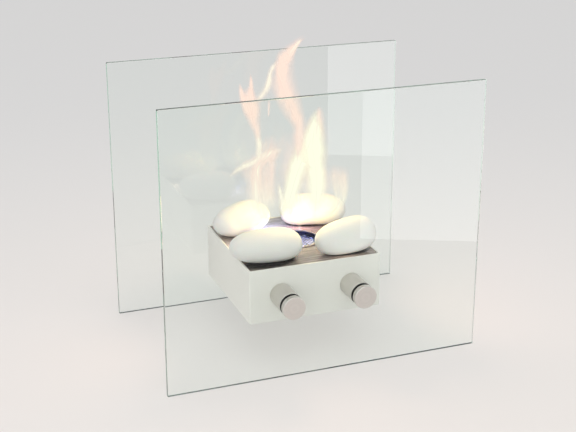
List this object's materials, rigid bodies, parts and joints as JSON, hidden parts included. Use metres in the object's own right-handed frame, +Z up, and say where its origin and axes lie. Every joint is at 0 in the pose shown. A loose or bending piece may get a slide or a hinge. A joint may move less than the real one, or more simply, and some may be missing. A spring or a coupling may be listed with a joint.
{
  "type": "bioethanol fireplace",
  "caption": "Tabletop bioethanol fireplace: a square white burner casing hung between upright clear glass panes on steel standoffs, with a lift-out burner and loose white pebbles.",
  "frame": {"origin": "on the table, below the middle of the burner casing and midway between the panes", "axes": "+X along the panes to the right as seen from the front, +Y to the back, +Z up; -Y is the front"},
  "size_m": [0.35, 0.2356, 0.3],
  "materials": {
    "pane_glass": "gloss",
    "white_paint": "satin",
    "satin_steel": "satin",
    "burner_steel": "satin",
    "wire_steel": "satin",
    "zinc_steel": "satin",
    "black_rubber": "matte",
    "clear_nylon": "matte",
    "ceramic_wool": "matte",
    "pebble_ceramic": "matte",
    "flame": "gloss"
  },
  "bodies": {
    "stand": {"front_pane": "pane_glass", "back_pane": "pane_glass", "casing": "white_paint", "bottom_plate": "white_paint", "bottom_screws": "zinc_steel", "left_ledge": "zinc_steel", "right_ledge": "zinc_steel", "barrel_front_left": "satin_steel", "barrel_front_right": "satin_steel", "barrel_back_left": "satin_steel", "barrel_back_right": "satin_steel", "mounting_bolts": "zinc_steel", "mounting_washers": "zinc_steel", "inner_gaskets": "black_rubber", "stud_bushes": "clear_nylon"},
    "burner": {"burner_plate": "burner_steel", "burner_neck": "burner_steel", "mesh_screen": "wire_steel", "mesh_ring": "burner_steel", "fuel_tank": "burner_steel", "ceramic_wool": "ceramic_wool"},
    "pebble_front_left": {"pebble_front_left": "pebble_ceramic"},
    "pebble_front_right": {"pebble_front_right": "pebble_ceramic"},
    "pebble_back_left": {"pebble_back_left": "pebble_ceramic"},
    "pebble_back_right": {"pebble_back_right": "pebble_ceramic"},
    "gasket_front_left": {"outer_gasket_front_left": "black_rubber"},
    "cap_front_left": {"cap_front_left": "satin_steel"},
    "gasket_front_right": {"outer_gasket_front_right": "black_rubber"},
    "cap_front_right": {"cap_front_right": "satin_steel"},
    "gasket_back_left": {"outer_gasket_back_left": "black_rubber"},
    "cap_back_left": {"cap_back_left": "satin_steel"},
    "gasket_back_right": {"outer_gasket_back_right": "black_rubber"},
    "cap_back_right": {"cap_back_right": "satin_steel"}
  },
  "joints": [
    {"name": "burner_lift", "type": "slide", "parent": "stand", "child": "burner", "axis": [0, 0, 1], "range_m": [0, 0.245]},
    {"name": "pebble_front_left_lift", "type": "slide", "parent": "burner", "child": "pebble_front_left", "axis": [0, 0, 1], "range_m": [0, 0.2]},
    {"name": "pebble_front_right_lift", "type": "slide", "parent": "burner", "child": "pebble_front_right", "axis": [0, 0, 1], "range_m": [0, 0.2]},
    {"name": "pebble_back_left_lift", "type": "slide", "parent": "burner", "child": "pebble_back_left", "axis": [0, 0, 1], "range_m": [0, 0.2]},
    {"name": "pebble_back_right_lift", "type": "slide", "parent": "burner", "child": "pebble_back_right", "axis": [0, 0, 1], "range_m": [0, 0.2]},
    {"name": "cap_front_left_travel", "type": "slide", "parent": "stand", "child": "gasket_front_left", "axis": [0, -1, 0], "range_m": [0, 0.0063]},
    {"name": "cap_front_left_turn", "type": "hinge", "parent": "gasket_front_left", "child": "cap_front_left", "pos_m": [-0.04, -0.1148, 0.079], "axis": [0, -1, 0], "range_deg": [0, 1800]},
    {"name": "cap_front_right_travel", "type": "slide", "parent": "stand", "child": "gasket_front_right", "axis": [0, -1, 0], "range_m": [0, 0.0063]},
    {"name": "cap_front_right_turn", "type": "hinge", "parent": "gasket_front_right", "child": "cap_front_right", "pos_m": [0.04, -0.1148, 0.079], "axis": [0, -1, 0], "range_deg": [0, 1800]},
    {"name": "cap_back_left_travel", "type": "slide", "parent": "stand", "child": "gasket_back_left", "axis": [0, 1, 0], "range_m": [0, 0.0063]},
    {"name": "cap_back_left_turn", "type": "hinge", "parent": "gasket_back_left", "child": "cap_back_left", "pos_m": [-0.04, 0.1148, 0.079], "axis": [0, 1, 0], "range_deg": [0, 1800]},
    {"name": "cap_back_right_travel", "type": "slide", "parent": "stand", "child": "gasket_back_right", "axis": [0, 1, 0], "range_m": [0, 0.0063]},
    {"name": "cap_back_right_turn", "type": "hinge", "parent": "gasket_back_right", "child": "cap_back_right", "pos_m": [0.04, 0.1148, 0.079], "axis": [0, 1, 0], "range_deg": [0, 1800]}
  ],
  "couplings": [
    {"joint": "cap_front_left_travel", "follows": "cap_front_left_turn", "m_per_rad": 0.00019894},
    {"joint": "cap_front_right_travel", "follows": "cap_front_right_turn", "m_per_rad": 0.00019894},
    {"joint": "cap_back_left_travel", "follows": "cap_back_left_turn", "m_per_rad": 0.00019894},
    {"joint": "cap_back_right_travel", "follows": "cap_back_right_turn", "m_per_rad": 0.00019894}
  ]
}
